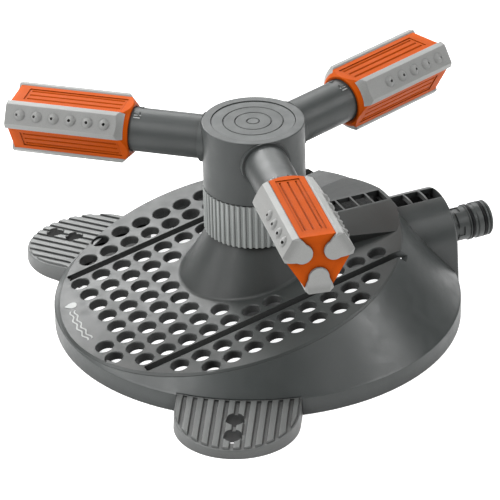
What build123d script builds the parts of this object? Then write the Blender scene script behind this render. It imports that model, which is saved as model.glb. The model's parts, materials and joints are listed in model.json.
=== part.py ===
from build123d import *
import math
import os

# Three-arm rotary lawn sprinkler on a round base.
# The origin is on the column axis at ground level, +Z is up and +X points along the hose inlet.

# ---- driving dimensions, millimetres and degrees ----
BASE_RADIUS = 102.5
RIM_HEIGHT = 10.0
RIM_LEDGE = 0.7              # the rim stands this far proud of the cone above it
BASE_WALL = 3.2
WALL_TAPER = 0.82            # radius lost by the base wall per millimetre of height
FORM_TOP = 62.0              # height at which the conical form of the wall is cut off

DECK_TILT = 12.0             # the deck rises towards the inlet
DECK_HEIGHT = 32.6           # deck surface on the column axis
DECK_THICKNESS = 4.5
DECK_LIP = 1.2               # part of the deck's thickness that rests on the wall
DECK_CENTRE = -16.0          # centre of the deck's outline, along the slope
DECK_HOLE_RADIUS = 4.45
DECK_HOLE_EDGE = 0.45
HOLE_PITCH = 11.75
HOLE_COLUMN_START = -92.95
HOLE_COLUMNS = 13
HOLE_ROWS = (5.87, 17.62, 29.37, 41.12, 57.8, 69.55)
HOLE_REACH = 82.5            # holes stay within this distance of the deck's centre
HOLE_CLEAR_OF_CONE = 41.5
HOLE_CLEAR_OF_RIDGE = 34.0
BLANK_FIELD_EDGE = -88.0     # first column keeps only two holes, beside a blank field
BLANK_FIELD_SIDE = -15.0
SLOT_Y = 49.3
SLOT_WIDTH = 4.7
SLOT_START = -84.3
SLOT_END = 66.5

CONE_TOP_RADIUS = 23.8
CONE_FOOT_RADIUS = 34.2
CONE_WALL = 3.0
CONE_TOP = 50.0
CONE_MIDDLE = 41.5            # height where the flare passes just inside a straight line
CONE_HOLLOW = 0.3
CONE_SPREAD = 9.0            # how far the flare runs on outwards below the deck
CONE_ROOT = 18.0
CONE_FILLET = 2.2            # hollow rounding where the cone meets the deck
NECK_RADIUS = 20.0
NECK_BORE = 16.5
NECK_TOP = 73.6

RIDGE_CREST = 49.8
RIDGE_EAVE = 46.0
RIDGE_CREST_HALF = 6.5
RIDGE_START = 26.0
RIDGE_FULL_LENGTH = 76.0     # before its end is cut round
RIDGE_ROOT = 30.0
RIDGE_END_RADIUS = 72.7
RIDGE_START_HALF = 21.0
RIDGE_SPREAD = 0.27          # the ridge's half width grows by this much per millimetre
RIDGE_WALL = 2.4
RIDGE_END_WALL = 4.5
LOUVRE_HALF = 5.3
LOUVRE_FLOOR = 38.0
RIDGE_LOUVRES = 5
RIDGE_LOUVRE_PITCH = 8.25
RIDGE_LOUVRE_LENGTH = 7.2
RIDGE_LOUVRE_END = 70.8

TUNNEL_RADIUS = 22.3
TUNNEL_AXIS = 21.9
TUNNEL_FOOT_HALF = 23.6
TUNNEL_WALL = 2.6
TUNNEL_START = 55.0
TUNNEL_END = 102.5
TUNNEL_EDGE = 1.4
TUNNEL_LOUVRES = 3
TUNNEL_LOUVRE_PITCH = 8.6
TUNNEL_LOUVRE_LENGTH = 7.6
TUNNEL_LOUVRE_END = 101.4

FOOT_AZIMUTHS = {"left": 120.0, "right": -120.0}
FOOT_CENTRE = 108.7
FOOT_RADIUS = 30.8
FOOT_TAPER = 3.0             # degrees from upright, all round
FOOT_INNER_END = 90.0
FOOT_TOP = 9.8
FOOT_TIP_TOP = 5.7
FOOT_EDGE = 0.7
FOOT_SKIN = 3.4
FOOT_WALL = 2.6
FOOT_RIBS = 12
FOOT_RIB_PITCH = 5.2
FOOT_RIB_WIDTH = 3.2
FOOT_RIB_HEIGHT = 1.1
FOOT_RIB_ROUND = 0.5
FOOT_BORDER = 1.0            # plain edge left around the ribs
PEG_HOLE_RADIUS = 4.6
PEG_HOLES = (116.5, 129.0)
PEG_BOSS = 6.8
NOTCH_GAP = 0.12

PIPE_AXIS = 22.1
PIPE_RADIUS = 9.5
PIPE_BORE = 6.0
PIPE_END = 96.0
COLUMN_RADIUS = 12.0
COLUMN_TOP = 39.0
FLANGE_RADIUS = 25.0
FLANGE_THICKNESS = 3.0
SCREW_CIRCLE = 20.0
SCREW_COUNT = 4
SCREW_SHANK = 1.5
SCREW_HEAD = 3.1
POST_RADIUS = 3.6
SPINDLE_RADIUS = 8.0
SPINDLE_BORE = 5.0
SPINDLE_TOP = 94.0
SPINDLE_FOOT = 30.0
SPINDLE_CLIP_RADIUS = 10.6

NIPPLE_NECK = 7.8
NIPPLE_COLLAR = 8.6
NIPPLE_WAIST = 8.7
NIPPLE_LAND = 9.25
NIPPLE_TIP = 9.1
NIPPLE_BORE = 4.6
COLLAR_START = 110.4
REAR_GROOVE = (117.4, 119.6)
LAND_START = 121.6
FRONT_GROOVE = (124.2, 126.4)
GROOVE_FLOOR = 7.0
TIP_LINE = (127.5, 128.1)    # decorative groove just behind the end
TIP_LINE_DEPTH = 0.45
TIP_CHAMFER = 0.8
NIPPLE_END = 129.7
FILTER_START = 108.0
FILTER_END = 126.0

RING_OUTER = 25.0
RING_BOTTOM = 50.9
RING_TOP = 73.9
RING_RIBS = 54
RING_RIB_RADIUS = 0.95

HEAD_RADIUS = 25.5
HEAD_BOTTOM = 74.3
HEAD_TOP = 109.0
HEAD_EDGE = 0.5
HEAD_FLOOR = 3.4
CHAMBER_RADIUS = 20.0
CAP_RADIUS = 21.0
CAP_THICKNESS = 2.0
CAP_DROP = 0.4               # the lid lies this much below the head's rim
CAP_GAP = 0.25
CAP_GROOVES = (14.9, 9.0)
CAP_GROOVE_WIDTH = 0.8
CAP_GROOVE_DEPTH = 0.6
CAP_PIP_RADIUS = 3.1
BUSH_RADIUS = 10.5
BUSH_TOP = 90.0
BUSH_FLANGE = 12.3
BUSH_FLANGE_THICKNESS = 1.0
HUB_RADIUS = 14.0
RUNNING_GAP = 0.05
THRUST_GAP = 0.1
WASHER_RADIUS = 12.3
WASHER_THICKNESS = 0.5
BUSH_BOTTOM = NECK_TOP + WASHER_THICKNESS + THRUST_GAP
UPPER_WASHER = BUSH_TOP + THRUST_GAP
CLIP_GROOVE = (UPPER_WASHER + WASHER_THICKNESS + 0.1, UPPER_WASHER + WASHER_THICKNESS + 1.3)
CLIP_GROOVE_FLOOR = 7.1
SEAL_GROOVE = (81.0, 82.8)
SEAL_GROOVE_FLOOR = 6.8

ARM_HEIGHT = 96.8
ARM_AZIMUTHS = {"left": 139.6, "right": 19.6, "front": -100.4}
ARM_RADIUS = 11.0
ARM_BORE = 5.6
SPIGOT_RADIUS = 8.2
SPIGOT_START = 17.0
PORT_FACE = 19.6
CLIP_THICKNESS = 1.2
CLIP_RADIUS = 9.5
ROOT_RING_RADIUS = 12.4
ROOT_RING_HEIGHT = 0.3
SEAL_X = 22.4
SEAL_MINOR = 0.7
JOURNAL_RADIUS = 8.0
JOURNAL_START = 65.8
JOURNAL_END = 84.0
JOURNAL_BORE = 5.0
SNAP_X = 80.5
SNAP_HEIGHT = 0.35
SNAP_WIDTH = 1.2
POINTER_X = 58.6

CORE_START = 61.6
CORE_END = 122.8
CORE_FLAT = 13.0
CORE_FLAT_HALF = 9.0
CORE_COUNTERBORE = 11.35
CORE_COUNTERBORE_END = 66.2
CORE_NOSE = 12.6
NOSE_LENGTH = 5.6
PANEL_HALF = 5.9
PANEL_DEPTH = 0.4
PANEL_START = 4.2
PANEL_END = 5.6
PANEL_GROOVES = (-4.0, 0.0, 4.0)
PANEL_GROOVE_WIDTH = 1.5
PANEL_GROOVE_DEPTH = 0.6

STRIP_START = 63.4
STRIP_END = 124.0
STRIP_FLOOR = 12.4
STRIP_SHOULDER = 15.1
STRIP_TOP = 17.3
STRIP_FLOOR_HALF = 6.3
STRIP_HALF = 7.1
STRIP_TOP_HALF = 5.1
EDGE_ROUND = 0.5             # small radius along the edges of strips and cores
LOBE_START = 92.0
LOBE_TIP = 4.0
LOBE_ROUND = 5.0
DUCT_HALF = 2.0
DUCT_FLOOR = 13.6
DUCT_ROOF = 15.6
PORT_X = 74.0
PORT_RADIUS = 1.8
JET_LAST = 116.4
JET_PITCH = 8.8
JET_DOME = 2.8
JET_HEIGHT = 1.6
JET_HOLE = 0.75
JET_LEANS = (50.0, 38.0, 24.0, 12.0, 5.0, 0.0)   # degrees outward, from the tip inwards
STRIP_JETS = {"four": 4, "five": 5, "six": 6}
STRIP_ORDER = {
    "left": {"six": 30.0, "five": 150.0, "four": 270.0},
    "right": {"six": 30.0, "five": 150.0, "four": 270.0},
    "front": {"five": 30.0, "four": 150.0, "six": 270.0},
}

TALL = 400.0
TILT = math.radians(DECK_TILT)
DECK = Plane(
    origin=(0, 0, DECK_HEIGHT),
    x_dir=(math.cos(TILT), 0, math.sin(TILT)),
    z_dir=(-math.sin(TILT), 0, math.cos(TILT)),
)
SECTION = Plane(origin=(0, 0, 0), x_dir=(0, 1, 0), z_dir=(1, 0, 0))


# ---- shared shapes ----
def turned(*points):
    """Solid turned about +Z from a closed outline of (radius, height) points."""
    outline = make_face(Polyline(*points, close=True))
    return revolve(Plane.XZ * outline, Axis.Z)


def tube(outer, inner, low, high):
    """Round tube about +Z, or a rod when the inner radius is zero."""
    body = Pos(0, 0, (low + high) / 2) * Cylinder(outer, high - low)
    if inner > 0:
        body -= Pos(0, 0, (low + high) / 2) * Cylinder(inner, high - low + 2)
    return body


def along_x(shape):
    """Turn a shape made about +Z so that it lies along +X."""
    return Rot(0, 90, 0) * shape


def slab(low, high):
    """Layer parallel to the deck, between two heights measured from its surface."""
    return DECK * Pos(0, 0, (low + high) / 2) * Box(TALL, TALL, high - low)


def prism_x(points, start, end, round_radius=0.0):
    """Straight bar along +X with a closed (y, z) outline, its long edges rounded if asked."""
    outline = make_face(Polyline(*points, close=True))
    if round_radius > 0:
        outline = fillet(outline.vertices(), round_radius)
    return Pos(start, 0, 0) * extrude(SECTION * outline, amount=end - start)


def joined(first, others):
    """One shape made of several that touch."""
    result = first
    for other in others:
        result += other
    return result


# ---- base ----
def bowl(inset, floor):
    """Solid form of the base: an upright rim under a cone, smaller all round by inset."""
    radius = BASE_RADIUS - inset
    cone_foot = radius - RIM_LEDGE
    top_radius = radius - WALL_TAPER * (FORM_TOP - RIM_HEIGHT)
    return turned(
        (0, floor),
        (radius, floor),
        (radius, RIM_HEIGHT - RIM_LEDGE),
        (cone_foot, RIM_HEIGHT),
        (top_radius, FORM_TOP),
        (0, FORM_TOP),
    )


def tunnel(inset, start, end):
    """Barrel-roofed block over the inlet pipe, standing on the ground."""
    radius = TUNNEL_RADIUS - inset
    foot = TUNNEL_FOOT_HALF - inset
    barrel = Pos((start + end) / 2, 0, TUNNEL_AXIS) * along_x(Cylinder(radius, end - start))
    sides = prism_x([(-foot, -inset), (foot, -inset), (radius, TUNNEL_AXIS), (-radius, TUNNEL_AXIS)], start, end)
    barrel -= Pos((start + end) / 2, 0, TUNNEL_AXIS - TUNNEL_RADIUS) * Box(TALL, TALL, 2 * TUNNEL_RADIUS)
    block = barrel + sides
    if end < TUNNEL_END:
        return block
    end_edges = block.faces().sort_by(Axis.X)[-1].edges().filter_by(lambda edge: edge.center().Z > 1)
    return fillet(end_edges, TUNNEL_EDGE)


def louvres(count, end, pitch, length):
    """Row of rectangular cutters along the crest over the inlet pipe."""
    return [
        Pos(end - length / 2 - pitch * index, 0, LOUVRE_FLOOR + 10) * Box(length, 2 * LOUVRE_HALF, 20)
        for index in range(count)
    ]


def foot_outline(inset, height):
    """Upright block with a round outer end, in a foot's own frame with +X outward."""
    radius = FOOT_RADIUS - inset
    length = FOOT_CENTRE - FOOT_INNER_END + 10
    plan = Circle(radius) + Pos(-length / 2, 0) * Rectangle(length, 2 * radius)
    block = Pos(FOOT_CENTRE, 0, 0) * extrude(plan, amount=height, taper=FOOT_TAPER)
    inner_part = Pos(FOOT_INNER_END - 50 + inset, 0, height / 2) * Box(100, TALL, 3 * height)
    return block - inner_part


def base_shell():
    """Rim, conical wall and inlet tunnel, hollow and open underneath."""
    form = bowl(0, 0)
    hollow = bowl(BASE_WALL, -1)
    shell = form & slab(-TALL / 2, -DECK_LIP)
    block = tunnel(0, TUNNEL_START, TUNNEL_END) - (form & slab(-DECK_LIP, TALL / 2))
    block -= Pos(0, 0, -10) * Box(TALL, TALL, 20)
    shell = (shell + block) - hollow
    shell -= tunnel(TUNNEL_WALL, TUNNEL_START - 5, TUNNEL_END - TUNNEL_WALL)
    shell -= along_x(tube(NIPPLE_NECK, 0, 90, 110)).moved(Location((0, 0, PIPE_AXIS)))
    shell -= louvres(TUNNEL_LOUVRES, TUNNEL_LOUVRE_END, TUNNEL_LOUVRE_PITCH, TUNNEL_LOUVRE_LENGTH)
    shell -= [DECK * Pos(SLOT_END - 8, side * SLOT_Y, 0) * Box(16, SLOT_WIDTH, 10) for side in (-1, 1)]
    for azimuth in FOOT_AZIMUTHS.values():
        shell -= Rot(0, 0, azimuth) * foot_outline(-NOTCH_GAP, RIM_HEIGHT)
    return shell


def pedestal_profile(radius_offset):
    """Outline of the flared cone under the column, as a turned solid reaching below the deck."""
    foot = CONE_FOOT_RADIUS - radius_offset
    top = CONE_TOP_RADIUS - radius_offset
    middle = ((foot + top) / 2 - CONE_HOLLOW, CONE_MIDDLE)
    flare = ThreePointArc((foot + CONE_SPREAD, CONE_ROOT), middle, (top, CONE_TOP))
    outline = Polyline((top, CONE_TOP), (0, CONE_TOP), (0, CONE_ROOT), (foot + CONE_SPREAD, CONE_ROOT))
    return revolve(Plane.XZ * make_face(flare + outline), Axis.Z)


def ridge(inset, end):
    """Low roof running from the cone to the deck's inlet edge."""
    sections = []
    for x in (RIDGE_START, RIDGE_FULL_LENGTH):
        half = RIDGE_START_HALF + RIDGE_SPREAD * (x - RIDGE_START) - inset
        points = [
            (-half, RIDGE_ROOT),
            (half, RIDGE_ROOT),
            (half, RIDGE_EAVE - inset),
            (RIDGE_CREST_HALF, RIDGE_CREST - inset),
            (-RIDGE_CREST_HALF, RIDGE_CREST - inset),
            (-half, RIDGE_EAVE - inset),
        ]
        sections.append(Pos(x, 0, 0) * (SECTION * make_face(Polyline(*points, close=True))))
    roof = loft(sections, ruled=True)
    return roof & Cylinder(end, TALL)


def deck_hole_places():
    """Centres of the deck's round holes, in the deck plane."""
    places = []
    for column in range(HOLE_COLUMNS):
        along = HOLE_COLUMN_START + HOLE_PITCH * column
        for row in HOLE_ROWS:
            for side in (-1, 1):
                across = side * row
                in_deck = math.hypot(along - DECK_CENTRE, across) < HOLE_REACH
                off_cone = math.hypot(along, across) > HOLE_CLEAR_OF_CONE
                off_ridge = along < 0 or abs(across) > HOLE_CLEAR_OF_RIDGE
                in_blank_field = along < BLANK_FIELD_EDGE and across > BLANK_FIELD_SIDE
                if in_deck and off_cone and off_ridge and not in_blank_field:
                    places.append((along, across))
    return places


def deck_hole_cutters():
    """One stepped cutter per hole: the bore and a small broken edge at the surface."""
    bore = Cylinder(DECK_HOLE_RADIUS, 16)
    edge = Pos(0, 0, -DECK_HOLE_EDGE / 2) * Cone(DECK_HOLE_RADIUS, DECK_HOLE_RADIUS + DECK_HOLE_EDGE, DECK_HOLE_EDGE)
    cutters = []
    for along, across in deck_hole_places():
        place = DECK * Pos(along, across, 0)
        cutters.append(place * bore)
        cutters.append(place * edge)
    return cutters


def deck_slot(side):
    """Cutter for a straight slot along the slope."""
    middle = (SLOT_END + SLOT_START) / 2
    return DECK * Pos(middle, side * SLOT_Y, 0) * Box(SLOT_END - SLOT_START, SLOT_WIDTH, 20)


def is_cone_crease(edge):
    """Whether an edge is where the cone meets the deck's upper face."""
    points = [edge @ share for share in (0.1, 0.4, 0.8)]
    heights = [abs(DECK.to_local_coords(point).Z) for point in points]
    reaches = [math.hypot(point.X, point.Y) for point in points]
    return max(heights) < 0.01 and max(reaches) < CONE_FOOT_RADIUS + CONE_SPREAD


def deck_cover():
    """Perforated deck with the cone, the ridge and the neck that carries the ring."""
    form = bowl(0, 0)
    inner_form = bowl(BASE_WALL, 0)
    lip = form & slab(-DECK_LIP, 0)
    plate = inner_form & slab(-DECK_THICKNESS, -DECK_LIP)
    above_deck = slab(-DECK_LIP, TALL / 2)
    cone = pedestal_profile(0) & slab(-DECK_THICKNESS, TALL / 2)
    roof = ridge(0, RIDGE_END_RADIUS) & above_deck
    cover = joined(lip + plate, [cone])
    cover = fillet(cover.edges().filter_by(is_cone_crease), CONE_FILLET)
    cover = joined(cover, [roof])
    cover -= pedestal_profile(CONE_WALL) & Pos(0, 0, CONE_TOP - CONE_WALL - 50) * Box(TALL, TALL, 100)
    cover -= ridge(RIDGE_WALL, RIDGE_END_RADIUS - RIDGE_END_WALL) & slab(-30, TALL / 2)
    cover -= tube(NECK_BORE, 0, 40, 60)
    cover += tube(NECK_RADIUS, NECK_BORE, CONE_TOP - CONE_WALL, NECK_TOP)
    cover += tube(NECK_BORE + 1, SPINDLE_RADIUS, NECK_TOP - 3, NECK_TOP)
    posts = tube(POST_RADIUS, 0, COLUMN_TOP, CONE_TOP - CONE_WALL + 1) - tube(SCREW_SHANK, 0, COLUMN_TOP - 1, 45)
    cover += [place * posts for place in PolarLocations(SCREW_CIRCLE, SCREW_COUNT, 45)]
    cover -= louvres(RIDGE_LOUVRES, RIDGE_LOUVRE_END, RIDGE_LOUVRE_PITCH, RIDGE_LOUVRE_LENGTH)
    cover -= [deck_slot(side) for side in (-1, 1)]
    return cover - deck_hole_cutters()


def anchor_foot(azimuth):
    """Ribbed foot with two peg holes, hollow underneath."""
    rise = math.atan2(FOOT_TOP - FOOT_TIP_TOP, FOOT_CENTRE + FOOT_RADIUS - BASE_RADIUS)
    slope = Plane(
        origin=(BASE_RADIUS, 0, FOOT_TOP),
        x_dir=(math.cos(rise), 0, -math.sin(rise)),
        z_dir=(math.sin(rise), 0, math.cos(rise)),
    )
    above_plate = slope * Pos(0, 0, 10 - FOOT_RIB_HEIGHT) * Box(TALL, TALL, 20)
    plate = foot_outline(0, FOOT_TOP) - above_plate
    brim = plate.edges().filter_by(lambda edge: edge.center().X > FOOT_CENTRE and edge.center().Z > 2)
    foot = fillet(brim, FOOT_EDGE)
    foot += foot_outline(0, FOOT_TOP) & Cylinder(BASE_RADIUS - 0.1, TALL)
    rib_field = foot_outline(FOOT_BORDER, FOOT_TOP)
    half = FOOT_RIB_WIDTH / 2
    for index in range(FOOT_RIBS):
        across = (index - (FOOT_RIBS - 1) / 2) * FOOT_RIB_PITCH
        section = [(across - half, -3), (across + half, -3), (across + half, 0), (across - half, 0)]
        rib = prism_x(section, -10, 50, FOOT_RIB_ROUND)
        foot += slope.location * rib & rib_field
    bosses = [Pos(x, 0, 0) * Cylinder(PEG_BOSS, 60) for x in PEG_HOLES]
    above_pocket = slope * Pos(0, 0, 10 - FOOT_SKIN) * Box(TALL, TALL, 20)
    foot -= foot_outline(FOOT_WALL, FOOT_TOP - FOOT_SKIN) - above_pocket - bosses
    foot -= [Pos(x, 0, 0) * Cylinder(PEG_HOLE_RADIUS, 60) for x in PEG_HOLES]
    return Rot(0, 0, azimuth) * foot


# ---- water way in the base ----
def inlet_channel():
    """Elbow: pipe from the hose nipple, upright column and the flange screwed under the cone."""
    pipe = along_x(tube(PIPE_RADIUS, 0, 0, PIPE_END)).moved(Location((0, 0, PIPE_AXIS)))
    column = tube(COLUMN_RADIUS, 0, 0, COLUMN_TOP)
    flange = tube(FLANGE_RADIUS, 0, COLUMN_TOP - FLANGE_THICKNESS, COLUMN_TOP)
    body = pipe + column + flange
    body -= along_x(tube(PIPE_BORE, 0, 0, PIPE_END + 1)).moved(Location((0, 0, PIPE_AXIS)))
    body -= tube(PIPE_BORE, 0, PIPE_AXIS - PIPE_BORE, COLUMN_TOP + 1)
    body -= tube(SPINDLE_RADIUS, 0, SPINDLE_FOOT, COLUMN_TOP + 1)
    return body - [place * Cylinder(SCREW_SHANK, 200) for place in PolarLocations(SCREW_CIRCLE, SCREW_COUNT, 45)]


def channel_screws():
    """Screws that hold the elbow's flange to the posts under the cone."""
    seat = COLUMN_TOP - FLANGE_THICKNESS
    head = tube(SCREW_HEAD, 0, seat - 2.2, seat)
    head -= Pos(0, 0, seat - 2.2) * Box(4.2, 1.0, 2.0)
    head -= Pos(0, 0, seat - 2.2) * Box(1.0, 4.2, 2.0)
    screw = head + tube(SCREW_SHANK, 0, seat, 44.5)
    return Compound(children=[place * screw for place in PolarLocations(SCREW_CIRCLE, SCREW_COUNT, 45)])


def riser_spindle():
    """Hollow upright spindle that carries the rotor, with grooves for its seal and clip."""
    body = tube(SPINDLE_RADIUS, 0, SPINDLE_FOOT, SPINDLE_TOP)
    body += tube(COLUMN_RADIUS - 1, 0, COLUMN_TOP, COLUMN_TOP + 3)
    body -= tube(SPINDLE_BORE, 0, SPINDLE_FOOT - 1, SPINDLE_TOP + 1)
    body -= tube(SPINDLE_RADIUS + 1, SEAL_GROOVE_FLOOR, *SEAL_GROOVE)
    return body - tube(SPINDLE_RADIUS + 1, CLIP_GROOVE_FLOOR, *CLIP_GROOVE)


def spindle_seal():
    """Seal ring in the spindle's lower groove."""
    return tube(SPINDLE_RADIUS - 0.02, SEAL_GROOVE_FLOOR, *SEAL_GROOVE)


def thrust_washer(low):
    """Flat washer around the spindle."""
    return tube(WASHER_RADIUS, SPINDLE_RADIUS, low, low + WASHER_THICKNESS)


def spindle_clip():
    """Open retaining clip in the spindle's upper groove."""
    ring = tube(SPINDLE_CLIP_RADIUS, CLIP_GROOVE_FLOOR, *CLIP_GROOVE)
    return ring - Pos(SPINDLE_CLIP_RADIUS, 0, CLIP_GROOVE[0]) * Box(16, 5.0, 6)


def hose_nipple():
    """Quick-connect plug with two seal grooves and a notched collar."""
    outline = turned(
        (0, PIPE_END),
        (NIPPLE_NECK, PIPE_END),
        (NIPPLE_NECK, COLLAR_START),
        (NIPPLE_COLLAR, COLLAR_START),
        (NIPPLE_COLLAR, REAR_GROOVE[0] - 0.8),
        (NIPPLE_LAND, REAR_GROOVE[0] - 0.4),
        (NIPPLE_LAND, REAR_GROOVE[0]),
        (GROOVE_FLOOR, REAR_GROOVE[0]),
        (GROOVE_FLOOR, REAR_GROOVE[1]),
        (NIPPLE_WAIST, REAR_GROOVE[1]),
        (NIPPLE_WAIST, LAND_START - 0.5),
        (NIPPLE_LAND, LAND_START),
        (NIPPLE_LAND, FRONT_GROOVE[0]),
        (GROOVE_FLOOR, FRONT_GROOVE[0]),
        (GROOVE_FLOOR, FRONT_GROOVE[1]),
        (NIPPLE_TIP, FRONT_GROOVE[1]),
        (NIPPLE_TIP, TIP_LINE[0]),
        (NIPPLE_TIP - TIP_LINE_DEPTH, TIP_LINE[0]),
        (NIPPLE_TIP - TIP_LINE_DEPTH, TIP_LINE[1]),
        (NIPPLE_TIP, TIP_LINE[1]),
        (NIPPLE_TIP, NIPPLE_END - TIP_CHAMFER),
        (NIPPLE_TIP - TIP_CHAMFER, NIPPLE_END),
        (0, NIPPLE_END),
    )
    body = outline + tube(PIPE_BORE, 0, PIPE_END - 8, PIPE_END)
    body -= tube(NIPPLE_BORE, 0, PIPE_END - 9, NIPPLE_END + 1)
    for place in PolarLocations(NIPPLE_LAND, 4):
        body -= place * Pos(0, 0, COLLAR_START + 1.4) * Box(2.9, 5.0, 3.4)
    return along_x(body).moved(Location((0, 0, PIPE_AXIS)))


def nipple_o_ring(groove):
    """Round-section seal in one groove of the nipple."""
    width = groove[1] - groove[0]
    minor = width / 2 - 0.03
    ring = Pos(0, 0, (groove[0] + groove[1]) / 2) * Torus(NIPPLE_LAND - 0.03 - minor, minor)
    return along_x(ring).moved(Location((0, 0, PIPE_AXIS)))


def inlet_filter():
    """Strainer cup in the nipple's bore, open towards the hose."""
    cup = tube(NIPPLE_BORE, NIPPLE_BORE - 0.8, FILTER_START, FILTER_END)
    cup += tube(NIPPLE_BORE, 0, FILTER_START, FILTER_START + 1)
    for level in range(5):
        for place in PolarLocations(NIPPLE_BORE, 6, 30 * (level % 2)):
            cup -= place * Pos(0, 0, FILTER_START + 3.5 + 2.6 * level) * Box(3, 2.2, 1.4)
    return along_x(cup).moved(Location((0, 0, PIPE_AXIS)))


# ---- ring under the rotor ----
def range_ring():
    """Finger-grip ring around the neck, with half-round ribs that hang a little lower."""
    ribs = Sketch() + Circle(RING_OUTER)
    ribs += [place * Circle(RING_RIB_RADIUS) for place in PolarLocations(RING_OUTER - 0.15, RING_RIBS)]
    body = Pos(0, 0, RING_BOTTOM) * extrude(ribs, amount=RING_TOP - RING_BOTTOM)
    body -= turned(
        (0, RING_BOTTOM - 1),
        (RING_OUTER - 0.6, RING_BOTTOM - 1),
        (RING_OUTER - 0.6, RING_BOTTOM + 0.8),
        (NECK_RADIUS + 1, RING_BOTTOM + 1.6),
        (0, RING_BOTTOM + 1.6),
    )
    return body - tube(NECK_RADIUS + RUNNING_GAP, 0, RING_BOTTOM - 1, RING_TOP + 1)


# ---- rotor ----
def arm_place(azimuth):
    """Frame of one arm: +X outward along the arm, at the arm's height."""
    return Pos(0, 0, ARM_HEIGHT) * Rot(0, 0, azimuth)


def rotor_housing():
    """Round head with a water chamber, a central hub and three arm ports."""
    body = tube(HEAD_RADIUS, 0, HEAD_BOTTOM, HEAD_TOP)
    body = fillet(body.edges().filter_by(GeomType.CIRCLE).sort_by(Axis.Z)[0], HEAD_EDGE)
    body = fillet(body.edges().filter_by(GeomType.CIRCLE).sort_by(Axis.Z)[-1], HEAD_EDGE)
    body -= tube(CHAMBER_RADIUS, 0, HEAD_BOTTOM + HEAD_FLOOR, HEAD_TOP + 1)
    body -= tube(CAP_RADIUS, 0, HEAD_TOP - CAP_DROP - CAP_THICKNESS, HEAD_TOP + 1)
    body += tube(HUB_RADIUS, 0, HEAD_BOTTOM, BUSH_TOP)
    body -= tube(BUSH_RADIUS, 0, HEAD_BOTTOM - 1, BUSH_TOP + 1)
    body -= tube(BUSH_FLANGE, 0, HEAD_BOTTOM - 1, BUSH_BOTTOM + BUSH_FLANGE_THICKNESS)
    for azimuth in ARM_AZIMUTHS.values():
        body -= arm_place(azimuth) * along_x(tube(CLIP_RADIUS + 0.3, 0, HUB_RADIUS + 1, PORT_FACE))
        body -= arm_place(azimuth) * along_x(tube(SPIGOT_RADIUS, 0, HUB_RADIUS + 1, HEAD_RADIUS + 2))
    return body


def rotor_cap():
    """Lid of the head with turned decorative grooves and a plain centre pip."""
    top = HEAD_TOP - CAP_DROP
    cap = tube(CAP_RADIUS - CAP_GAP, 0, top - CAP_THICKNESS, top)
    for radius in CAP_GROOVES + (CAP_PIP_RADIUS,):
        cap -= turned(
            (radius - CAP_GROOVE_WIDTH / 2, top + 0.1),
            (radius, top - CAP_GROOVE_DEPTH),
            (radius + CAP_GROOVE_WIDTH / 2, top + 0.1),
        )
    return cap


def bearing_bush():
    """Flanged bush pressed into the hub from below, running on the spindle."""
    bore = SPINDLE_RADIUS + RUNNING_GAP
    flange = tube(BUSH_FLANGE, bore, BUSH_BOTTOM, BUSH_BOTTOM + BUSH_FLANGE_THICKNESS)
    return flange + tube(BUSH_RADIUS, bore, BUSH_BOTTOM, BUSH_TOP)


def arm_tube(azimuth):
    """Hollow arm with a spigot in the head, and a closed journal for the nozzle head."""
    head = Cylinder(HEAD_RADIUS, TALL)
    outside = along_x(tube(ARM_RADIUS, 0, 10, JOURNAL_START))
    outside += along_x(tube(ROOT_RING_RADIUS, 0, 10, HEAD_RADIUS + ROOT_RING_HEIGHT))
    outside -= head
    body = outside + along_x(tube(SPIGOT_RADIUS, 0, SPIGOT_START, HEAD_RADIUS + 4))
    body += along_x(tube(JOURNAL_RADIUS, 0, JOURNAL_START - 1, JOURNAL_END))
    body += along_x(
        turned(
            (0, SNAP_X - SNAP_WIDTH / 2),
            (JOURNAL_RADIUS, SNAP_X - SNAP_WIDTH / 2),
            (JOURNAL_RADIUS + SNAP_HEIGHT, SNAP_X),
            (JOURNAL_RADIUS, SNAP_X + SNAP_WIDTH / 2),
            (0, SNAP_X + SNAP_WIDTH / 2),
        )
    )
    body -= along_x(tube(ARM_BORE, 0, SPIGOT_START - 1, JOURNAL_START - 2))
    body -= along_x(tube(JOURNAL_BORE, 0, JOURNAL_START - 3, JOURNAL_END - 2))
    body -= along_x(tube(SPIGOT_RADIUS + 1, SPIGOT_RADIUS - 0.7, PORT_FACE - CLIP_THICKNESS, PORT_FACE)) & Box(
        2 * PORT_FACE, TALL, TALL
    )
    body -= along_x(tube(SPIGOT_RADIUS + 0.5, SPIGOT_RADIUS - 2 * SEAL_MINOR - 0.1, SEAL_X - 0.75, SEAL_X + 0.75)) & head
    body -= Rot(30, 0, 0) * Pos(PORT_X, JOURNAL_RADIUS - 2, 0) * Box(6, 8, 5)
    for side in (-1, 1):
        body += Rot(18 * side, 0, 0) * pointer_mark()
    return arm_place(azimuth) * body


def pointer_mark():
    """Small raised wedge that points at the nozzle head."""
    outline = make_face(Polyline((-1.2, -1.3), (1.6, 0), (-1.2, 1.3), close=True))
    return Pos(POINTER_X, 0, ARM_RADIUS - 0.6) * extrude(outline, amount=1.0)


def arm_clip(azimuth):
    """Retaining clip on the spigot, inside the water chamber."""
    ring = tube(CLIP_RADIUS, SPIGOT_RADIUS - 0.7, PORT_FACE - CLIP_THICKNESS, PORT_FACE)
    return arm_place(azimuth) * along_x(ring - Pos(10, 0, PORT_FACE) * Box(16, 4.0, 6))


def arm_seal(azimuth):
    """Seal ring on the spigot, inside the head's wall."""
    ring = Torus(SPIGOT_RADIUS - SEAL_MINOR - 0.02, SEAL_MINOR)
    return arm_place(azimuth) * along_x(Pos(0, 0, SEAL_X) * ring)


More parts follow.
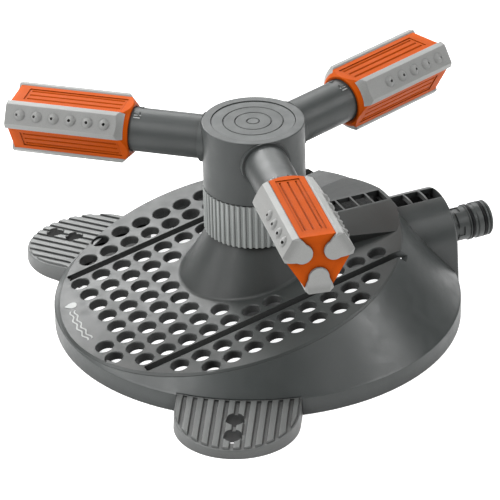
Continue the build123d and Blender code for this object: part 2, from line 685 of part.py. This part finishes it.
# ---- nozzle heads ----
def nose():
    """Envelope that chamfers the inner end of a nozzle head."""
    wide = CORE_NOSE + NOSE_LENGTH
    return along_x(
        turned(
            (0, CORE_START),
            (CORE_NOSE, CORE_START),
            (wide, CORE_START + NOSE_LENGTH),
            (wide, STRIP_END + 1),
            (0, STRIP_END + 1),
        )
    )


def strip_bar(start, end):
    """Outer part of a jet strip, on the +Z side of the head's axis."""
    points = [
        (-STRIP_FLOOR_HALF, STRIP_FLOOR),
        (STRIP_FLOOR_HALF, STRIP_FLOOR),
        (STRIP_HALF, STRIP_SHOULDER),
        (STRIP_TOP_HALF, STRIP_TOP),
        (-STRIP_TOP_HALF, STRIP_TOP),
        (-STRIP_HALF, STRIP_SHOULDER),
    ]
    return prism_x(points, start, end, EDGE_ROUND)


def strip_lobe():
    """Round-nosed inner part of a jet strip at the outer end of the head."""
    middle = LOBE_TIP + LOBE_ROUND
    lobe = SECTION * Pos(0, middle) * Circle(LOBE_ROUND)
    points = [
        (-LOBE_ROUND + 0.15, middle),
        (LOBE_ROUND - 0.15, middle),
        (STRIP_FLOOR_HALF, STRIP_FLOOR),
        (-STRIP_FLOOR_HALF, STRIP_FLOOR),
    ]
    web = SECTION * make_face(Polyline(*points, close=True))
    return Pos(LOBE_START, 0, 0) * extrude(lobe + web, amount=STRIP_END - LOBE_START)


def strip_body():
    """Whole outline of a jet strip without jets or ducts."""
    return (strip_bar(STRIP_START, STRIP_END) + strip_lobe()) & nose()


def head_place(azimuth, angle):
    """Frame of one strip: its outward direction is turned to an angle about the arm."""
    return arm_place(azimuth) * Rot(angle - 90, 0, 0)


def jet_strip(azimuth, angle, jets):
    """Hollow strip with a fan of jets that lean further outward towards the tip."""
    strip = strip_body()
    strip -= Pos((PORT_X + JET_LAST) / 2, 0, (DUCT_FLOOR + DUCT_ROOF) / 2) * Box(
        JET_LAST - PORT_X + 3, 2 * DUCT_HALF, DUCT_ROOF - DUCT_FLOOR
    )
    strip -= Pos(PORT_X, 0, STRIP_FLOOR) * Cylinder(PORT_RADIUS, 6)
    for index in range(jets):
        x = JET_LAST - JET_PITCH * index
        dome_radius = (JET_DOME ** 2 + JET_HEIGHT ** 2) / (2 * JET_HEIGHT)
        dome = Pos(0, 0, JET_HEIGHT - dome_radius) * Sphere(dome_radius)
        dome &= Pos(0, 0, JET_HEIGHT / 2) * Box(10, 10, JET_HEIGHT)
        strip += Pos(x, 0, STRIP_TOP) * dome
    for index in range(jets):
        x = JET_LAST - JET_PITCH * index
        strip -= Pos(x, 0, STRIP_TOP) * Rot(0, JET_LEANS[index], 0) * Cylinder(JET_HOLE, 6)
    return head_place(azimuth, angle) * strip


def core_outline():
    """Six-sided outline of the nozzle head: three panel sides and three strip sides."""
    points = []
    for angle in (0, 120, 240):
        turn = math.radians(angle)
        for half in (CORE_FLAT_HALF, -CORE_FLAT_HALF):
            y = half * math.cos(turn) - CORE_FLAT * math.sin(turn)
            z = half * math.sin(turn) + CORE_FLAT * math.cos(turn)
            points.append((y, z))
    return points


def panel():
    """Recess and grooves in one panel side, on the +Z side of the head's axis."""
    start = CORE_START + PANEL_START
    length = CORE_END - PANEL_END - start
    middle = start + length / 2
    cutter = Pos(middle, 0, CORE_FLAT) * Box(length, 2 * PANEL_HALF, 2 * PANEL_DEPTH)
    floor = CORE_FLAT - PANEL_DEPTH
    half = PANEL_GROOVE_WIDTH / 2
    for across in PANEL_GROOVES:
        flute = [(across - half, floor + 0.1), (across, floor - PANEL_GROOVE_DEPTH), (across + half, floor + 0.1)]
        cutter += prism_x(flute, start + 1.5, start + length - 1.5)
    return cutter


def nozzle_core(azimuth):
    """Coloured body of a nozzle head, bored for the arm's journal and slotted for its strips."""
    core = prism_x(core_outline(), CORE_START, CORE_END, EDGE_ROUND) & nose()
    core -= along_x(tube(CORE_COUNTERBORE, 0, CORE_START - 1, CORE_COUNTERBORE_END))
    core -= along_x(tube(JOURNAL_RADIUS + RUNNING_GAP, 0, CORE_START, JOURNAL_END + 0.4))
    core -= along_x(
        turned(
            (0, SNAP_X - SNAP_WIDTH / 2 - 0.2),
            (JOURNAL_RADIUS, SNAP_X - SNAP_WIDTH / 2 - 0.2),
            (JOURNAL_RADIUS + SNAP_HEIGHT + 0.15, SNAP_X),
            (JOURNAL_RADIUS, SNAP_X + SNAP_WIDTH / 2 + 0.2),
            (0, SNAP_X + SNAP_WIDTH / 2 + 0.2),
        )
    )
    seat = strip_body()
    port = Pos(PORT_X, 0, STRIP_FLOOR - 2) * Cylinder(PORT_RADIUS, 8)
    for angle in (30, 150, 270):
        core -= Rot(angle - 90, 0, 0) * seat
        core -= Rot(angle - 90, 0, 0) * port
        core -= Rot(angle - 30, 0, 0) * panel()
    return arm_place(azimuth) * core


# ---- write one file per piece ----
def all_parts():
    """Every piece by name."""
    parts = {
        "base_shell": base_shell(),
        "deck_cover": deck_cover(),
        "inlet_channel": inlet_channel(),
        "channel_screws": channel_screws(),
        "riser_spindle": riser_spindle(),
        "spindle_seal": spindle_seal(),
        "thrust_washer_lower": thrust_washer(NECK_TOP),
        "thrust_washer_upper": thrust_washer(UPPER_WASHER),
        "spindle_clip": spindle_clip(),
        "hose_nipple": hose_nipple(),
        "nipple_o_ring_rear": nipple_o_ring(REAR_GROOVE),
        "nipple_o_ring_front": nipple_o_ring(FRONT_GROOVE),
        "inlet_filter": inlet_filter(),
        "range_ring": range_ring(),
        "rotor_housing": rotor_housing(),
        "rotor_cap": rotor_cap(),
        "bearing_bush": bearing_bush(),
    }
    for name, azimuth in FOOT_AZIMUTHS.items():
        parts["anchor_foot_" + name] = anchor_foot(azimuth)
    for name, azimuth in ARM_AZIMUTHS.items():
        parts["arm_tube_" + name] = arm_tube(azimuth)
        parts["arm_seal_" + name] = arm_seal(azimuth)
        parts["arm_clip_" + name] = arm_clip(azimuth)
        parts["nozzle_core_" + name] = nozzle_core(azimuth)
        for jets, angle in STRIP_ORDER[name].items():
            parts["jet_strip_" + jets + "_" + name] = jet_strip(azimuth, angle, STRIP_JETS[jets])
    return parts


def main():
    """Write every piece to its own STEP file."""
    os.makedirs("parts", exist_ok=True)
    for name, shape in all_parts().items():
        export_step(shape, "parts/" + name + ".step")


main()
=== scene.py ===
import json
import math

import bmesh
import bpy
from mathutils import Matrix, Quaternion, Vector


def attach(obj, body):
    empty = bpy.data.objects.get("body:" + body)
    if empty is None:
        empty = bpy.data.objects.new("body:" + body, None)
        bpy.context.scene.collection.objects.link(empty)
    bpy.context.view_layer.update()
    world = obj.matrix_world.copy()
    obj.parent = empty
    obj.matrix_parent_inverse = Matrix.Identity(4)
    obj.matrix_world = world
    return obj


# The looks of a three-armed lawn sprinkler: studio, materials of the CAD nodes, and printed marks.
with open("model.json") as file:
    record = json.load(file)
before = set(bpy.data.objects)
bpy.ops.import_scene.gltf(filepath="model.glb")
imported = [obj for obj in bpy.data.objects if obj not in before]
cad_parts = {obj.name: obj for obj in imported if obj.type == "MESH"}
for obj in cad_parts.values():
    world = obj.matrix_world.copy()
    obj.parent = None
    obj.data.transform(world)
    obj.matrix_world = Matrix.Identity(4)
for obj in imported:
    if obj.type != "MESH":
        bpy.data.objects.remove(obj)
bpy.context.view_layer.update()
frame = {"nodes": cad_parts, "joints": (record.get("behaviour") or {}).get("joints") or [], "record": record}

# ---- camera, in metres and degrees; its lens and sensor in millimetres ----
CAMERA_AIM = Vector((0.00337, 0.01545, 0.02700))
CAMERA_DISTANCE = 2.0303
CAMERA_AZIMUTH = -23.896
CAMERA_ELEVATION = 29.411
CAMERA_ROLL = 1.498
CAMERA_LENS = 289.2
CAMERA_FAR = 50.0
SENSOR_WIDTH = 36.0

# ---- floor and surroundings ----
WHITE = (1.0, 1.0, 1.0, 1.0)
WORLD_STRENGTH = 0.02
FLOOR_SIZE = 14.0
FLOOR_GREY = (0.5, 0.5, 0.5, 1.0)
FLOOR_ROUGHNESS = 0.9
FLOOR_GLOW = 0.95

# ---- softboxes: name, azimuth, elevation, distance, (width, height), brightness, point that they face ----
HEART = (0.0, 0.0, 0.06)
LOW_SIDE = (-0.10, 0.0, 0.02)
PANELS = (
    ("behind", 150, 33, 1.5, (1.5, 0.7), 4.2, HEART),
    ("over_deck", 185, 38, 0.6, (0.4, 0.3), 8.5, LOW_SIDE),
    ("left_front", -76, 42, 1.3, (0.3, 0.9), 9.4, HEART),
    ("left", -110, 25, 1.4, (0.4, 0.6), 7.2, HEART),
    ("top", 0, 88, 1.5, (0.8, 0.8), 3.4, HEART),
    ("right", 57, 35, 1.4, (0.35, 0.7), 10.9, HEART),
    ("side_left", -95, 45, 1.3, (0.3, 0.5), 6.8, HEART),
    ("right_front", 20, 35, 1.4, (0.3, 0.6), 3.2, HEART),
)

# ---- surfaces: linear colours, and what sets each moulding apart from moulded_plastic's usual finish, with how deep its painted shade in grooves and hollows and its painted edge highlight go ----
SHADER_SAMPLES = 4
MOULDINGS = {
    "base_grey": dict(
        colour=(0.0416, 0.0464, 0.0456), rough=0.36, edge=0.0006, specular=0.42, crevice_shade=0.4, hollow=True,
    ),
    "deck_grey": dict(
        colour=(0.0375, 0.0413, 0.0401), rough=0.41, grain_scale=2200.0, specular=0.34, crevice_shade=0.1,
        reach=0.014, hollow=True,
    ),
    "foot_grey": dict(colour=(0.0850, 0.0905, 0.0880), rough=0.46, specular=0.8, crevice_shade=0.12, reach=0.012),
    "ring_grey": dict(colour=(0.2205, 0.2332, 0.2274), rough=0.45, edge=0.0003, crevice_shade=0.3),
    "head_grey": dict(colour=(0.0428, 0.0475, 0.0466), rough=0.42, specular=0.4),
    "channel_grey": dict(colour=(0.016, 0.018, 0.018), rough=0.45),
    "core_orange": dict(
        colour=(0.385, 0.060, 0.003), rough=0.4, grain_depth=0.00002, mottle=0.04, specular=0.03,
        crevice_shade=0.35,
    ),
    "jet_grey": dict(
        colour=(0.2142, 0.2167, 0.2108), rough=0.46, grain_depth=0.00002, mottle=0.03, edge=0.0005,
        specular=0.35, crevice_shade=0.5, wear_and_glint=0.3,
    ),
    "bearing_white": dict(colour=(0.75, 0.74, 0.70), rough=0.4),
    "print_pale": dict(colour=(0.26, 0.27, 0.265), rough=0.5, mottle=0.12),
}
SEAL_BLACK = (0.006, 0.0065, 0.007)
STEEL = (0.55, 0.55, 0.54)

# ---- printed marks, in millimetres and degrees ----
MM = 0.001
PRINT_HEIGHT = 0.12

# the tilted deck: slope, height on the column's axis, and the middle of its outline along the slope
DECK_TILT = 12.0
DECK_HEIGHT = 32.6
DECK_CENTRE = -16.0

# the emblem near the deck's low edge: a drop, then two wavy lines
EMBLEM_REACH = 80.6
DROP_BEARING = 19.0
DROP_LENGTH = 6.4
DROP_MIDDLE = 0.4
DROP_HALF_WIDTH = 2.5
DROP_FULLNESS = 2.6
DROP_START = 0.004
DROP_SPAN = 0.99
DROP_STEPS = 24
WAVE_START = 15.5
WAVE_END = -5.0
WAVE_OFFSETS = (-1.1, 1.1)
WAVE_SWING = 0.6
WAVE_COUNT = 4
WAVE_HALF_WIDTH = 0.4
WAVE_STEPS = 96

# the setting ticks on the arm tubes: places around the tube, and where they start and end along it
ARM_RADIUS = 11.0
TICK_PLACES = (-6.0, -4.5, 4.5, 6.0)
TICK_START = 55.5
TICK_STAGGER = 0.2
TICK_END = 60.2
TICK_HALF_WIDTH = 0.3


# ---- studio ----
def direction(azimuth, elevation):
    """Unit vector from the object towards a viewer; azimuth 0 looks along +Y."""
    a, e = math.radians(azimuth), math.radians(elevation)
    return Vector((math.sin(a) * math.cos(e), -math.cos(a) * math.cos(e), math.sin(e)))


def add_object(name, data):
    """New object in the scene."""
    made = bpy.data.objects.new(name, data)
    bpy.context.scene.collection.objects.link(made)
    return made


def make_camera():
    """Camera at the viewing angle of the reference, with its slight roll."""
    data = bpy.data.cameras.new("camera")
    data.lens = CAMERA_LENS
    data.sensor_width = SENSOR_WIDTH
    data.clip_end = CAMERA_FAR
    camera = add_object("camera", data)
    back = direction(CAMERA_AZIMUTH, CAMERA_ELEVATION)
    camera.location = CAMERA_AIM + back * CAMERA_DISTANCE
    level = (-back).to_track_quat("-Z", "Y")
    camera.rotation_mode = "QUATERNION"
    camera.rotation_quaternion = Quaternion(-back, math.radians(CAMERA_ROLL)) @ level
    bpy.context.scene.camera = camera


def soft_panel(name, azimuth, elevation, distance, size, brightness, aim):
    """Rectangular softbox of a given brightness that faces one point of the object."""
    data = bpy.data.lights.new(name, "AREA")
    data.shape = "RECTANGLE"
    data.size, data.size_y = size
    data.energy = math.pi * size[0] * size[1] * brightness
    lamp = add_object(name, data)
    back = direction(azimuth, elevation)
    lamp.location = Vector(aim) + back * distance
    lamp.rotation_euler = (-back).to_track_quat("-Z", "Y").to_euler()


def make_lights():
    """Dim studio with the softboxes of PANELS."""
    world = bpy.data.worlds.new("studio")
    world.use_nodes = True
    background = world.node_tree.nodes["Background"]
    background.inputs["Color"].default_value = WHITE
    background.inputs["Strength"].default_value = WORLD_STRENGTH
    bpy.context.scene.world = world
    for panel in PANELS:
        soft_panel(*panel)
    bpy.context.scene.view_settings.view_transform = "Standard"


def make_floor():
    """Plain pale floor, luminous like a light table."""
    half = FLOOR_SIZE / 2
    corners = [(-half, -half, 0), (half, -half, 0), (half, half, 0), (-half, half, 0)]
    mesh = bpy.data.meshes.new("floor")
    mesh.from_pydata(corners, [], [(0, 1, 2, 3)])
    floor = add_object("floor", mesh)
    surface = Surface("floor")
    surface.finish("Base Color", FLOOR_GREY)
    surface.finish("Roughness", FLOOR_ROUGHNESS)
    surface.finish("Emission Color", WHITE)
    surface.finish("Emission Strength", FLOOR_GLOW)
    mesh.materials.append(surface.material)


# ---- materials ----
class Surface:
    """A principled material under construction, with short helpers for its nodes."""

    def __init__(self, name):
        self.material = bpy.data.materials.new(name)
        self.material.use_nodes = True
        self.tree = self.material.node_tree
        self.shader = self.tree.nodes["Principled BSDF"]

    def feed(self, socket, value):
        """Set a socket to a plain value, or link it to another node's output."""
        if isinstance(value, bpy.types.NodeSocket):
            self.tree.links.new(value, socket)
        else:
            socket.default_value = value

    def finish(self, quality, value):
        """Give the shader one of its qualities."""
        self.feed(self.shader.inputs[quality], value)

    def node(self, kind, inputs=None, **settings):
        """Add a node with its settings, and feed its inputs."""
        made = self.tree.nodes.new(kind)
        for key, value in settings.items():
            setattr(made, key, value)
        for key, value in (inputs or {}).items():
            self.feed(made.inputs[key], value)
        return made

    def noise(self, scale, detail=2.0, roughness=0.5):
        """Noise in the piece's own coordinates."""
        place = self.node("ShaderNodeTexCoord").outputs["Object"]
        inputs = {"Vector": place, "Scale": scale, "Detail": detail, "Roughness": roughness}
        return self.node("ShaderNodeTexNoise", inputs).outputs["Fac"]

    def spread(self, value, low, high, start=0.3, end=0.7):
        """Map a value from the range start to end onto low to high; most noise lies in the usual range."""
        inputs = {"Value": value, "From Min": start, "From Max": end, "To Min": low, "To Max": high}
        return self.node("ShaderNodeMapRange", inputs).outputs["Result"]

    def product(self, first, second):
        """Multiply two values."""
        return self.node("ShaderNodeMath", {0: first, 1: second}, operation="MULTIPLY").outputs["Value"]

    def total(self, first, second):
        """Add two values and stop at one."""
        inputs = {0: first, 1: second}
        return self.node("ShaderNodeMath", inputs, operation="ADD", use_clamp=True).outputs["Value"]

    def tint(self, colour, factor):
        """A colour made lighter or darker by a factor."""
        inputs = {0: colour, "Scale": factor}
        return self.node("ShaderNodeVectorMath", inputs, operation="SCALE").outputs["Vector"]

    def crevice(self, distance, darkest, closed=0.35, clear=0.95):
        """Shade factor: one in the open, down to the darkest value in grooves and corners."""
        occlusion = self.node("ShaderNodeAmbientOcclusion", {"Distance": distance}, samples=SHADER_SAMPLES)
        return self.spread(occlusion.outputs["AO"], low=darkest, high=1.0, start=closed, end=clear)

    def edge_wear_and_highlight(self, amount):
        """Edge factor: a little over one where the form is sharply convex, for lighter edges that are partly
        rubbed and partly a painted highlight.
        """
        pointiness = self.node("ShaderNodeNewGeometry").outputs["Pointiness"]
        return self.spread(pointiness, low=1.0, high=1.0 + amount, start=0.52, end=0.6)

    def round_edges(self, radius):
        """Normal with softened edges."""
        return self.node("ShaderNodeBevel", {"Radius": radius}, samples=SHADER_SAMPLES).outputs["Normal"]

    def bump(self, height, strength, distance, normal=None):
        """Bump from a height value, over an optional normal."""
        inputs = {"Height": height, "Strength": strength, "Distance": distance}
        if normal is not None:
            inputs["Normal"] = normal
        return self.node("ShaderNodeBump", inputs).outputs["Normal"]


def moulded_plastic(
    name, colour, rough, grain_scale=2600.0, grain_depth=0.00003, edge=0.0004, mottle=0.07,
    specular=0.5, crevice_shade=0.7, reach=0.006, wear_and_glint=0.25, hollow=False,
):
    """Injection-moulded plastic: cloudy colour, fine spark-eroded grain, soft edges and painted shade in the
    grooves.

    Edge is the radius of the softened edges, reach the size of the grooves whose colour is darkened as
    painted shade, and the groove-shade setting how dark they get;
    the edge setting lightens convex edges, partly as rubbed edges and partly as a painted highlight, and
    hollow paints shade into the insides of a shell and makes them dull.
    """
    surface = Surface(name)
    cloud = surface.spread(surface.noise(scale=42.0, detail=4.0), low=1.0 - mottle, high=1.0 + mottle)
    fleck = surface.spread(surface.noise(scale=3400.0, detail=1.0), low=0.93, high=1.07)
    shade = surface.product(cloud, fleck)
    # painted shade: colour darkened by ambient occlusion in grooves and corners
    shade = surface.product(shade, surface.crevice(reach, crevice_shade))
    # lighter colour on sharply convex edges: partly rubbed edges, partly a painted highlight
    shade = surface.product(shade, surface.edge_wear_and_highlight(wear_and_glint))
    scuffs = surface.noise(scale=130.0, detail=5.0, roughness=0.65)
    roughness = surface.spread(scuffs, low=rough - 0.06, high=rough + 0.08)
    if hollow:
        # painted shade: the insides of a shell darkened in colour by ambient occlusion, and made rougher
        # there
        shelter = surface.crevice(distance=0.09, darkest=0.03, closed=0.12, clear=0.40)
        shade = surface.product(shade, shelter)
        dullness = surface.spread(shelter, low=0.65, high=0.0, start=0.1, end=0.6)
        roughness = surface.total(roughness, dullness)
    rounded = surface.round_edges(edge)
    swell = surface.bump(surface.noise(scale=60.0), strength=0.25, distance=0.0002, normal=rounded)
    grain = surface.bump(surface.noise(grain_scale), strength=0.5, distance=grain_depth, normal=swell)
    surface.finish("Base Color", surface.tint(colour, shade))
    surface.finish("Roughness", roughness)
    surface.finish("Normal", grain)
    surface.finish("Specular IOR Level", specular)
    return surface.material


def rubber(name, colour):
    """Smooth dark rubber with a dusty bloom."""
    surface = Surface(name)
    bloom = surface.spread(surface.noise(scale=160.0, detail=4.0), low=0.8, high=1.6)
    roughness = surface.spread(surface.noise(scale=500.0, detail=3.0), low=0.38, high=0.55)
    surface.finish("Base Color", surface.tint(colour, bloom))
    surface.finish("Roughness", roughness)
    surface.finish("Normal", surface.bump(surface.noise(scale=1500.0), strength=0.3, distance=0.00003))
    surface.finish("Specular IOR Level", 0.15)
    return surface.material


def spring_steel(name, colour):
    """Steel with fine scratches."""
    surface = Surface(name)
    scratches = surface.noise(scale=900.0, detail=6.0, roughness=0.7)
    shade = surface.spread(scratches, low=0.85, high=1.1)
    surface.finish("Base Color", surface.tint(colour, shade))
    surface.finish("Roughness", surface.spread(scratches, low=0.22, high=0.42))
    surface.finish("Normal", surface.bump(scratches, strength=0.3, distance=0.00002))
    surface.finish("Metallic", 1.0)
    return surface.material


def make_materials():
    """One material for each of the record's slots, and one for the pale print."""
    made = {name: moulded_plastic(name, **look) for name, look in MOULDINGS.items()}
    made["seal_black"] = rubber("seal_black", SEAL_BLACK)
    made["steel"] = spring_steel("steel", STEEL)
    return made


def paint_nodes(materials):
    """Give every CAD node the material of its slot in the record."""
    for subpart in frame["record"]["subparts"]:
        mesh = frame["nodes"][subpart["node"]].data
        mesh.materials.clear()
        mesh.materials.append(materials[subpart["material_slot"]])


# ---- printed marks ----
def on_deck(bearing, reach, height):
    """Point on the deck from its bearing off the downhill direction and its distance from the middle."""
    a, tilt = math.radians(bearing), math.radians(DECK_TILT)
    along = DECK_CENTRE - reach * math.cos(a)
    x = along * math.cos(tilt) - height * math.sin(tilt)
    z = DECK_HEIGHT + along * math.sin(tilt) + height * math.cos(tilt)
    return Vector((x, reach * math.sin(a), z)) * MM


def on_arm(joint):
    """Placing rule for the arm tube on a nozzle's joint: distance along it, then around from its top."""
    outwards = Vector(joint["axis"])
    upwards = Vector((0.0, 0.0, 1.0))
    sideways = upwards.cross(outwards)
    column = upwards * joint["pos_m"][2]

    def place(along, around, height):
        turn = around / ARM_RADIUS
        rise = upwards * math.cos(turn) - sideways * math.sin(turn)
        return column + (outwards * along + rise * (ARM_RADIUS + height)) * MM

    return place


def add_ribbon(bm, pairs, place):
    """Thin raised band between two rows of points on a surface."""
    rings = []
    for left, right in pairs:
        foot = (place(*left, 0.0), place(*right, 0.0))
        top = (place(*right, PRINT_HEIGHT), place(*left, PRINT_HEIGHT))
        rings.append([bm.verts.new(corner) for corner in foot + top])
    for ring, following in zip(rings, rings[1:]):
        for i in range(len(ring)):
            j = (i + 1) % len(ring)
            bm.faces.new((ring[i], ring[j], following[j], following[i]))
    bm.faces.new(rings[0])
    bm.faces.new(rings[-1])


def printed_piece(name, bands, place, body, material):
    """One raised print made of several bands, riding on a body."""
    bm = bmesh.new()
    for pairs in bands:
        add_ribbon(bm, pairs, place)
    bmesh.ops.recalc_face_normals(bm, faces=bm.faces)
    mesh = bpy.data.meshes.new(name)
    bm.to_mesh(mesh)
    bm.free()
    mesh.materials.append(material)
    piece = add_object(name, mesh)
    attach(piece, body)


def droplet_band():
    """Water drop: round towards the deck's middle, tapering to its tip at the deck's edge."""
    pairs = []
    for i in range(DROP_STEPS + 1):
        share = DROP_START + DROP_SPAN * i / DROP_STEPS
        half = DROP_FULLNESS * DROP_HALF_WIDTH * math.sqrt(share) * (1 - share)
        spread = math.degrees(half / EMBLEM_REACH)
        reach = EMBLEM_REACH + DROP_LENGTH * (share - DROP_MIDDLE)
        pairs.append(((DROP_BEARING - spread, reach), (DROP_BEARING + spread, reach)))
    return pairs


def wave_band(offset):
    """Wavy line that follows the deck's edge."""
    pairs = []
    for i in range(WAVE_STEPS + 1):
        share = i / WAVE_STEPS
        bearing = WAVE_START + (WAVE_END - WAVE_START) * share
        reach = EMBLEM_REACH + offset + WAVE_SWING * math.sin(2 * math.pi * WAVE_COUNT * share)
        pairs.append(((bearing, reach - WAVE_HALF_WIDTH), (bearing, reach + WAVE_HALF_WIDTH)))
    return pairs


def tick_band(around):
    """Short line along an arm tube, a little shorter the farther it is from the tube's top."""
    ends = (TICK_START + abs(around) * TICK_STAGGER, TICK_END)
    return [((along, around - TICK_HALF_WIDTH), (along, around + TICK_HALF_WIDTH)) for along in ends]


def make_prints(material):
    """Plain drop-and-waves emblem on the deck, and setting ticks on the tubes beside the nozzle heads."""
    emblem = [droplet_band()] + [wave_band(offset) for offset in WAVE_OFFSETS]
    printed_piece("deck_emblem", emblem, on_deck, "base", material)
    ticks = [tick_band(around) for around in TICK_PLACES]
    for side in ("left", "right", "front"):
        joint = next(joint for joint in frame["joints"] if joint["name"] == "nozzle_turn_" + side)
        printed_piece("setting_ticks_" + side, ticks, on_arm(joint), "rotor", material)


make_camera()
make_lights()
make_floor()
MATERIALS = make_materials()
paint_nodes(MATERIALS)
make_prints(MATERIALS["print_pale"])
